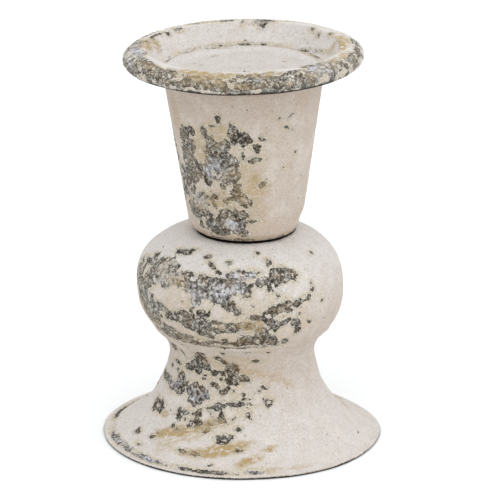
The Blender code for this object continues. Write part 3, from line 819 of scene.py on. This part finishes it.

# The first paint colour is the lit cream. The second is a darker, warmer copy that is painted shade
# where less light falls, and it is also mixed in a little as random tone.
PAINT_COOL = (0.672, 0.636, 0.608)
PAINT_WARM_SHADED = (0.530, 0.438, 0.362)
PAINT_LIGHT = (0.760, 0.728, 0.680)
# A painted highlight: the pale colour along the paint's broken edge around each flake.
PAINT_EDGE_HIGHLIGHT = (0.840, 0.800, 0.735)
PAINT_THIN = (0.620, 0.520, 0.365)
FILM = (0.300, 0.285, 0.225)
OCHRE = (0.435, 0.318, 0.155)
# Near black, used for painted shade under the cup and the rim, and for the foot's dark lower edge.
DIRT_AND_SHADE = (0.026, 0.021, 0.016)
BARE_BLACK = (0.024, 0.017, 0.011)
BARE_DARK = (0.100, 0.085, 0.066)
BARE_MID = (0.240, 0.220, 0.190)
BARE_LIGHT = (0.460, 0.440, 0.402)
BARE_PALE = (0.650, 0.640, 0.615)
BARE_FILM = (0.270, 0.265, 0.222)
METAL_STOPS = [
    (0.405, BARE_BLACK), (0.467, BARE_DARK), (0.538, BARE_MID), (0.605, BARE_LIGHT), (0.690, BARE_PALE),
]

# Factors that tint the metal, and how steeply the ochre streaks rise.
BARE_BLUE = (1.06, 1.10, 1.30)
BARE_BROWN = (1.12, 0.96, 0.76)
STREAK_RISE = math.radians(22)


def paint_colour(g, depth, painted_shade, ochre, middle, speckle, painted_dim):
    """Cream paint blended towards a painted-shade copy, thin and dirty beside a flake, with a painted
    highlight along its broken edge and dark dots.
    """
    # Painted shade: the shade layer, with some random tone, moves the paint towards its darker, warmer
    # copy.
    shade_and_tone = g.plus(painted_shade, g.swing(middle, 0.7), clamp=True)
    paint = g.mix(shade_and_tone, PAINT_COOL, PAINT_WARM_SHADED)
    light = g.ease(g.noise(10.0, 3.0, 0.6, offset=1.7), 0.48, 0.68, 0.0, 0.25)
    paint = g.mix(light, paint, PAINT_LIGHT)
    halo = g.times(g.ease(depth, -2.6, -0.3), g.ease(middle, 0.36, 0.60, 0.1, 0.75))
    paint = g.mix(halo, paint, PAINT_THIN)
    paint = g.mix(ochre, paint, OCHRE)
    film = g.times(g.ease(depth, -1.7, -0.2), g.ease(speckle, 0.42, 0.62, 0.0, 0.8))
    paint = g.mix(film, paint, FILM)
    # Painted highlight: a pale line on the paint just outside each flake, as if its broken edge caught
    # the light.
    lip_highlight = g.times(g.ease(depth, -0.55, -0.18), g.ease(middle, 0.40, 0.60, 0.1, 0.45))
    paint = g.mix(lip_highlight, paint, PAINT_EDGE_HIGHLIGHT)
    dots = g.ease(g.noise(1.3, 2.0, 0.5, offset=12.7), 0.665, 0.72, 0.0, 0.5)
    paint = g.mix(dots, paint, BARE_MID)
    # Multiplies by the dim value, which on the plate is painted shade, and by a random grain.
    shade = g.plus(painted_dim, g.swing(g.noise(0.9, 3.0, 0.8, offset=33.3), 0.85))
    return g.mix(1.0, paint, g.grey(shade), "MULTIPLY")


def metal_colour(g, depth, haze, cool, ochre, middle, speckle, cloud, pale):
    """Mottled zinc, hazy, brown or bluish in places, with dark curls and a painted shadow as a dark
    edge inside each flake.
    """
    lift = g.plus(g.times(haze, 0.026), g.times(cool, 0.05))
    lift = g.plus(lift, g.times(g.minus(middle, 0.5 - pale), 0.35))
    metal = g.ramp(g.plus(cloud, lift), METAL_STOPS)
    bloom = g.ease(g.noise(4.5, 2.0, 0.5, offset=25.9), 0.46, 0.60, 0.0, 0.40)
    metal = g.mix(g.times(haze, bloom), metal, BARE_FILM)
    brown = g.ease(g.noise(7.0, 3.0, 0.6, offset=18.3), 0.45, 0.60, 0.0, 0.7)
    metal = g.mix(brown, metal, g.mix(1.0, metal, BARE_BROWN, "MULTIPLY"))
    metal = g.mix(g.times(cool, 0.8), metal, g.mix(1.0, metal, BARE_BLUE, "MULTIPLY"))
    winding = g.math("ABSOLUTE", g.minus(g.noise(2.6, 2.0, 0.6, offset=41.7), 0.5))
    curl = g.times(g.ease(winding, 0.010, 0.040, 0.75, 0.0), g.minus(1.0, cool))
    metal = g.mix(curl, metal, BARE_BLACK)
    # Painted shadow: a dark edge inside each flake, where the paint's broken edge would shade the
    # metal, weaker on bluish zinc.
    lip_shadow = g.times(g.ease(depth, 0.15, 0.95, 1.0, 0.0), g.ease(speckle, 0.38, 0.56, 0.95, 0.44))
    lip_shadow = g.times(lip_shadow, g.minus(1.0, g.times(cool, 0.75)))
    metal = g.mix(lip_shadow, metal, BARE_BLACK)
    return g.mix(g.times(ochre, 0.65), metal, OCHRE)


def aged_paint(name, pale=0.0, mottle=1.4, painted_dim=1.0):
    """Chalky cream paint over galvanised sheet steel, bare where it has flaked off."""
    g = Graph(name)
    flake, stain, grime_and_shade, painted_shade, cool, haze = [g.attribute(layer) for layer in LAYERS]
    fine = g.noise(0.8, 3.0, 0.62)
    speckle = g.noise(1.0, 3.0, 0.7, offset=7.9)
    middle = g.noise(6.0, 3.0, 0.55, offset=5.3)
    cloud = g.noise(mottle, 3.5, 0.73, offset=15.1)
    streak = g.noise(1.5, 4.0, 0.75, stretch=(2.8, 1.6, 0.75), offset=9.1, rise=STREAK_RISE)
    depth = g.plus(flake, g.swing(fine, 2.4))
    bare = g.ease(depth, -0.06, 0.08)
    ochre = g.times(stain, g.ease(streak, 0.38, 0.53), clamp=True)

    paint = paint_colour(g, depth, painted_shade, ochre, middle, speckle, painted_dim)
    metal = metal_colour(g, depth, haze, cool, ochre, middle, speckle, cloud, pale)
    colour = g.mix(bare, paint, metal)
    # Darkens towards near black: painted shade under the cup and the rim, and the foot's dark lower
    # edge.
    dirt_and_shade = g.ease(g.plus(grime_and_shade, g.swing(speckle, 1.2)), 0.25, 0.75)
    colour = g.mix(g.times(dirt_and_shade, g.ease(grime_and_shade, 0.0, 0.4)), colour, DIRT_AND_SHADE)
    g.feed(g.shader.inputs["Base Color"], colour)

    chalky = g.times(g.plus(g.times(fine, 0.12), 0.74), g.minus(1.0, bare))
    dull = g.times(g.plus(g.times(cloud, 0.30), 0.42), bare)
    g.feed(g.shader.inputs["Roughness"], g.plus(chalky, dull))
    g.shader.inputs["Specular IOR Level"].default_value = 0.30

    lump = g.noise(1.0, 4.0, 0.66, offset=21.1)
    height = g.minus(lump, g.times(bare, 1.1))
    height = g.plus(height, g.times(g.times(bare, cloud), 1.2))
    g.bump(height, 1.0, 0.22)
    return g.material


def worn_metal(name, light, dark, rust, roughness, metallic):
    """Plated or black steel with a cloudy finish, dark grime and freckles of rust."""
    g = Graph(name)
    cloud = g.noise(1.6, 4.0, 0.6)
    grime_and_shade = g.noise(3.5, 3.0, 0.55, offset=4.4)
    colour = g.mix(g.ease(cloud, 0.35, 0.65), dark, light)
    colour = g.mix(g.ease(grime_and_shade, 0.55, 0.75, 0.0, 0.7), colour, rust)
    g.feed(g.shader.inputs["Base Color"], colour)
    g.feed(g.shader.inputs["Roughness"], g.plus(g.times(cloud, 0.3), roughness))
    g.feed(g.shader.inputs["Metallic"], g.ease(grime_and_shade, 0.55, 0.75, metallic, 0.1))
    g.bump(g.noise(0.5, 3.0, 0.6, offset=8.8), 0.6, 0.04)
    return g.material


# ---------------------------------------------------------------- painted shade and darkening
# Each takes a vertex's radius and height in mm, and its spoke: radians round from the front.
def clean(radius, height, spoke):
    return np.zeros(len(radius))


# Painted shade: warmer and darker from the flare up into the cove under the knop.
def base_painted_shade(radius, height, spoke):
    return 0.20 + 0.50 * smooth(height, 16, 44)


# Painted shade: warmer and darker further down the knop, whose lower half faces down.
def knop_painted_shade(radius, height, spoke):
    return 0.06 + 0.68 * fade(height, 62, 98)


# Painted shade: the upright cup is warmer and darker all over, and more so just under the pan and
# towards its foot.
def cup_painted_shade(radius, height, spoke):
    return 0.78 + 0.16 * smooth(height, 160, 178) + 0.12 * fade(height, 108, 128)


# Painted shade: warmer and darker on the outer underside of the rolled rim.
def pan_painted_shade(radius, height, spoke):
    return 0.06 + 0.7 * fade(height, 182, 187) * smooth(radius, 42, 48)


# Painted shade: warmer and darker on the plate's sunken middle.
def plate_painted_shade(radius, height, spoke):
    return 0.24 - 0.24 * smooth(radius, 28.5, 31.5)


def base_dark_foot_edge(radius, height, spoke):
    """Darker along the foot's lower edge."""
    return 0.95 * fade(height, 0.5, 1.3) * smooth(radius, 64, 66)


def knop_painted_shadow(radius, height, spoke):
    """Painted shadow on the knop's top under the cup, which stands off centre on it."""
    away = np.hypot(radius * np.sin(spoke) - CUP_OFFSET, radius * np.cos(spoke))
    return fade(away, 22.4, 24.6) * smooth(height, 95, 99)


def cup_painted_underside_shade(radius, height, spoke):
    """Painted shade on the underside of the cup."""
    return fade(radius, 22.6, 24.6) * fade(height, 103, 104.2)


def pan_painted_rim_shade(radius, height, spoke):
    """Painted shade under the rolled rim."""
    return 0.9 * fade(height, 182.6, 184.6) * smooth(radius, 48.0, 51.0)


def worn(flakes, zones, stains, islands=(), cool=(), painted_shade=clean, grime_and_shade=clean, **changes):
    """One skin's patches, its painted shade and its darkening, how bare its inside is, and the size of
    its crumbs.
    """
    patches = dict(zip(PATCH_KEYS, (flakes, islands, zones, stains, cool)))
    return {**patches, "painted_shade": painted_shade, "grime_and_shade": grime_and_shade, "inside": -2.0, "crumb": CRUMB_CELL, **changes}


base_skin = make_skin(
    "base_skin", base_profile(),
    worn(
        BASE_FLAKES, BASE_ZONES, BASE_STAINS, BASE_ISLANDS, BASE_COOL, base_painted_shade, base_dark_foot_edge,
        inside=-0.8,
    ),
    bend=stand, waves=0.14, relief=0.24, material=aged_paint("base_paint_aged"),
)
knop_skin = make_skin(
    "knop_skin", knop_profile(),
    worn(KNOP_FLAKES, KNOP_ZONES, KNOP_STAINS, KNOP_ISLANDS, KNOP_COOL, knop_painted_shade, knop_painted_shadow),
    bend=stand, waves=0.26, relief=0.26, material=aged_paint("knop_paint_aged", pale=0.05, mottle=1.6),
)
cup_skin = make_skin(
    "cup_skin", cup_profile(),
    worn(CUP_FLAKES, CUP_ZONES, CUP_STAINS, CUP_ISLANDS, CUP_COOL, cup_painted_shade, cup_painted_underside_shade),
    bend=lean_dented, waves=0.12, relief=0.22, material=aged_paint("cup_paint_aged"), sheet=THIN_SHEET,
)
pan_skin = make_skin(
    "pan_skin", pan_profile(),
    worn(PAN_FLAKES, PAN_ZONES, PAN_STAINS, PAN_ISLANDS, PAN_COOL, pan_painted_shade, pan_painted_rim_shade, crumb=3.0),
    bend=lean, waves=0.16, relief=0.3, material=aged_paint("pan_paint_aged", pale=0.10, mottle=1.8),
    measure="crest", sheet=THIN_SHEET,
)
# The plate's paint is dimmed overall: painted shade down inside the pan.
plate_skin = make_skin(
    "plate_skin", plate_profile(),
    worn(PLATE_FLAKES, PLATE_ZONES, PLATE_STAINS, painted_shade=plate_painted_shade),
    bend=lean, waves=0.06, relief=0.12, material=aged_paint("plate_paint_aged", painted_dim=0.90),
    measure="radius", sheet=PLATE_SHEET,
)

PIECES = [
    (base_skin, ["base_bell"], "base_paint"),
    (knop_skin, ["knop_lower_shell", "knop_upper_shell"], "knop_upper_paint"),
    (cup_skin, ["cup"], "cup_paint"),
    (pan_skin, ["drip_pan"], "pan_paint"),
    (plate_skin, ["candle_plate"], "plate_paint"),
]
for piece, nodes, slot in PIECES:
    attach(piece, "root")
    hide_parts(*nodes)

zinc = worn_metal("zinc_plate", (0.50, 0.50, 0.49), (0.30, 0.30, 0.29), (0.20, 0.11, 0.05), 0.35, 0.85)
steel = worn_metal("dark_steel", (0.30, 0.29, 0.28), (0.14, 0.13, 0.12), (0.18, 0.09, 0.04), 0.40, 0.80)
FINISH = {
    "cup_bolt": (steel, "bolt_steel"),
    "spring_washer": (steel, "spring_washer_steel"),
    "cup_washer": (zinc, "washer_zinc"),
    "knop_washer": (zinc, "washer_zinc"),
    "cup_nut": (zinc, "nut_zinc"),
}
for node, (finish, slot) in FINISH.items():
    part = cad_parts[node]
    part.data.materials.clear()
    part.data.materials.append(finish)

# ---------------------------------------------------------------- studio
# The floor's radius, its gap below the foot and the camera's places are in metres.
# The lens is in millimetres.
FLOOR_RADIUS = 12.0
FLOOR_SIDES = 64
FLOOR_GAP = 0.00005
FLOOR_TINTS = ((0.960, 0.965, 0.970), (0.965, 0.970, 0.975))
HORIZON_LEFT = (0.27, 0.265, 0.255)
HORIZON_RIGHT = (0.71, 0.68, 0.64)
ZENITH = (1.30, 1.33, 1.36)
CAMERA_PLACE = (0, -1.6564, 0.6357)
CAMERA_TARGET = (0.00385, 0, 0.0907)
CAMERA_LENS = 264.9

floor_points = []
for i in range(FLOOR_SIDES):
    angle = 2 * math.pi * i / FLOOR_SIDES
    floor_points.append((FLOOR_RADIUS * math.cos(angle), FLOOR_RADIUS * math.sin(angle), -FLOOR_GAP))
floor_mesh = bpy.data.meshes.new("studio_floor")
floor_mesh.from_pydata(floor_points, [], [tuple(range(FLOOR_SIDES))])
floor = bpy.data.objects.new("studio_floor", floor_mesh)
bpy.context.scene.collection.objects.link(floor)
pale = Graph("pale_floor")
pale.feed(pale.shader.inputs["Base Color"], pale.mix(pale.noise(300.0), *FLOOR_TINTS))
pale.shader.inputs["Roughness"].default_value = 0.9
floor.data.materials.append(pale.material)

# The sky is darker to the left at the horizon, and bright overhead.
world = bpy.data.worlds.new("studio")
bpy.context.scene.world = world
world.use_nodes = True
sky = world.node_tree
place = sky.nodes.new("ShaderNodeTexCoord")
split = sky.nodes.new("ShaderNodeSeparateXYZ")
across = sky.nodes.new("ShaderNodeMapRange")
across.inputs["From Min"].default_value = -1
level = sky.nodes.new("ShaderNodeMix")
level.data_type = "RGBA"
level.inputs[6].default_value = (*HORIZON_LEFT, 1)
level.inputs[7].default_value = (*HORIZON_RIGHT, 1)
upward = sky.nodes.new("ShaderNodeMix")
upward.data_type = "RGBA"
upward.inputs[7].default_value = (*ZENITH, 1)
sky.links.new(place.outputs["Generated"], split.inputs[0])
sky.links.new(split.outputs[0], across.inputs["Value"])
sky.links.new(across.outputs[0], level.inputs["Factor"])
sky.links.new(level.outputs[2], upward.inputs[6])
sky.links.new(split.outputs[2], upward.inputs["Factor"])
sky.links.new(upward.outputs[2], sky.nodes["Background"].inputs["Color"])

# Two very wide, soft lights: (name, direction that it comes from, strength, angle in degrees).
LIGHTS = [("key", (0.743, -0.346, 0.574), 0.14, 50), ("front", (-0.10, -0.60, 0.80), 0.55, 60)]
for name, direction, strength, angle in LIGHTS:
    light = bpy.data.lights.new(name, "SUN")
    light.angle = math.radians(angle)
    light.energy = strength
    holder = bpy.data.objects.new(name, light)
    holder.rotation_mode = "QUATERNION"
    holder.rotation_quaternion = Vector(direction).to_track_quat("Z", "Y")
    bpy.context.scene.collection.objects.link(holder)

camera_data = bpy.data.cameras.new("camera")
camera_data.sensor_width = 36
camera_data.lens = CAMERA_LENS
camera_data.clip_start = 0.05
camera_data.clip_end = 50
camera = bpy.data.objects.new("camera", camera_data)
camera.location = CAMERA_PLACE
camera.rotation_mode = "QUATERNION"
look = Vector(CAMERA_TARGET) - Vector(CAMERA_PLACE)
camera.rotation_quaternion = look.to_track_quat("-Z", "Y")
bpy.context.scene.collection.objects.link(camera)
bpy.context.scene.camera = camera

bpy.context.scene.view_settings.view_transform = "Standard"
bpy.context.scene.view_settings.look = "None"
